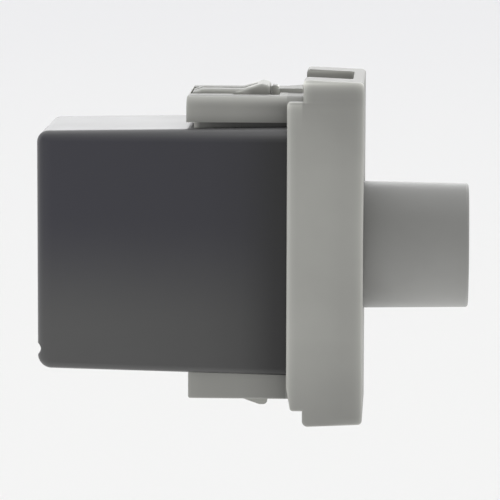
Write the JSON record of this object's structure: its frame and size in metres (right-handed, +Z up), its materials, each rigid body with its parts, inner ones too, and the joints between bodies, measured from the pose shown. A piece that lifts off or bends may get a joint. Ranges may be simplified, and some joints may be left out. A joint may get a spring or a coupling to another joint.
{
  "type": "rotary dimmer module",
  "caption": "Snap-in rotary dimmer module for a wall plate, with a push-and-turn knob, a release latch and rear screw terminals.",
  "frame": {"origin": "on the knob's axis, in the plane where the front body rests on its mounting plate", "axes": "+X along the knob's axis and out of the front, +Y to the left of someone who faces the front, +Z up"},
  "size_m": [0.062, 0.025, 0.05],
  "materials": {
    "cover_plastic": "light warm-grey moulded plastic, fine satin grain",
    "knob_plastic": "light grey moulded plastic, satin",
    "casing_plastic": "dark grey moulded plastic, satin",
    "spring_steel": "bright spring strip",
    "spindle_metal": "turned, fine rings",
    "nickel_brass": "nickel plated",
    "plated_steel": "zinc plated",
    "black_plastic": "black moulded plastic",
    "track_plate": "brown laminate with a black resistive ring",
    "white_plastic": "natural white acetal",
    "tinned_copper": "tinned",
    "board": "green solder mask over glass laminate",
    "ceramic": "tan ceramic with tinned ends",
    "terminal_plastic": "grey self-extinguishing plastic",
    "terminal_brass": "tinned brass",
    "film_box": "filled yellow case",
    "can_sleeve": "shrunk sleeve over an aluminium can",
    "varistor_coat": "dipped blue coating",
    "fuse_case": "red-brown moulded case",
    "sink_aluminium": "bent sheet",
    "pad_silicone": "grey silicone sheet"
  },
  "bodies": {
    "housing": {"front_cover": "cover_plastic", "rear_casing": "casing_plastic", "snap_dome": "spring_steel", "clamp_bar": "spring_steel", "control_bushing": "nickel_brass", "bushing_nut": "nickel_brass", "lock_washer": "plated_steel", "control_frame": "plated_steel", "clamp_screw": "plated_steel", "control_base": "black_plastic", "link_spacer": "black_plastic", "controller_chip": "black_plastic", "mosfet_1": "black_plastic", "mosfet_2": "black_plastic", "drum_choke": "black_plastic", "control_track": "track_plate", "control_pins": "tinned_copper", "link_pins": "tinned_copper", "control_board": "board", "power_board": "board", "chip_parts": "ceramic", "terminal_housing": "terminal_plastic", "terminal_bars": "terminal_brass", "film_capacitor": "film_box", "snubber_capacitor": "film_box", "electrolytic_capacitor": "can_sleeve", "varistor": "varistor_coat", "fuse": "fuse_case", "heat_sink": "sink_aluminium", "insulating_pad": "pad_silicone"},
    "latch": {"release_latch": "cover_plastic"},
    "plunger": {"switch_plunger": "white_plastic"},
    "knob": {"knob": "knob_plastic", "knob_clip": "spring_steel", "control_spindle": "spindle_metal"},
    "wiper": {"wiper_rotor": "white_plastic", "wiper_contact": "tinned_copper"},
    "screw_1": {"terminal_screw_1": "plated_steel"},
    "cage_1": {"terminal_cage_1": "terminal_brass"},
    "screw_2": {"terminal_screw_2": "plated_steel"},
    "cage_2": {"terminal_cage_2": "terminal_brass"},
    "screw_3": {"terminal_screw_3": "plated_steel"},
    "cage_3": {"terminal_cage_3": "terminal_brass"}
  },
  "joints": [
    {"name": "latch_flex", "type": "hinge", "parent": "housing", "child": "latch", "pos_m": [-0.01505, 0, 0.0217], "axis": [0, 1, 0], "range_deg": [0, 6], "stiffness_Nm_per_rad": 0.6},
    {"name": "switch_push", "type": "slide", "parent": "housing", "child": "plunger", "axis": [1, 0, 0], "range_m": [-0.0008, 0], "stiffness_N_per_m": 3000, "springref_m": 0.0004},
    {"name": "knob_turn", "type": "hinge", "parent": "plunger", "child": "knob", "pos_m": [0, 0, 0], "axis": [1, 0, 0], "range_deg": [-140, 140]},
    {"name": "wiper_turn", "type": "hinge", "parent": "housing", "child": "wiper", "pos_m": [0, 0, 0], "axis": [1, 0, 0], "range_deg": [-140, 140]},
    {"name": "screw_turn_1", "type": "hinge", "parent": "housing", "child": "screw_1", "pos_m": [-0.0345, -0.0062, -0.01097], "axis": [1, 0, 0], "range_deg": [0, 1584]},
    {"name": "cage_slide_1", "type": "slide", "parent": "housing", "child": "cage_1", "axis": [1, 0, 0], "range_m": [-0.0022, 0]},
    {"name": "screw_turn_2", "type": "hinge", "parent": "housing", "child": "screw_2", "pos_m": [-0.0345, 0, -0.01097], "axis": [1, 0, 0], "range_deg": [0, 1584]},
    {"name": "cage_slide_2", "type": "slide", "parent": "housing", "child": "cage_2", "axis": [1, 0, 0], "range_m": [-0.0022, 0]},
    {"name": "screw_turn_3", "type": "hinge", "parent": "housing", "child": "screw_3", "pos_m": [-0.0345, 0.0062, -0.01097], "axis": [1, 0, 0], "range_deg": [0, 1584]},
    {"name": "cage_slide_3", "type": "slide", "parent": "housing", "child": "cage_3", "axis": [1, 0, 0], "range_m": [-0.0022, 0]}
  ],
  "couplings": [
    {"joint": "wiper_turn", "follows": "knob_turn", "ratio": 1},
    {"joint": "screw_turn_1", "follows": "cage_slide_1", "rad_per_m": -12566},
    {"joint": "screw_turn_2", "follows": "cage_slide_2", "rad_per_m": -12566},
    {"joint": "screw_turn_3", "follows": "cage_slide_3", "rad_per_m": -12566}
  ]
}
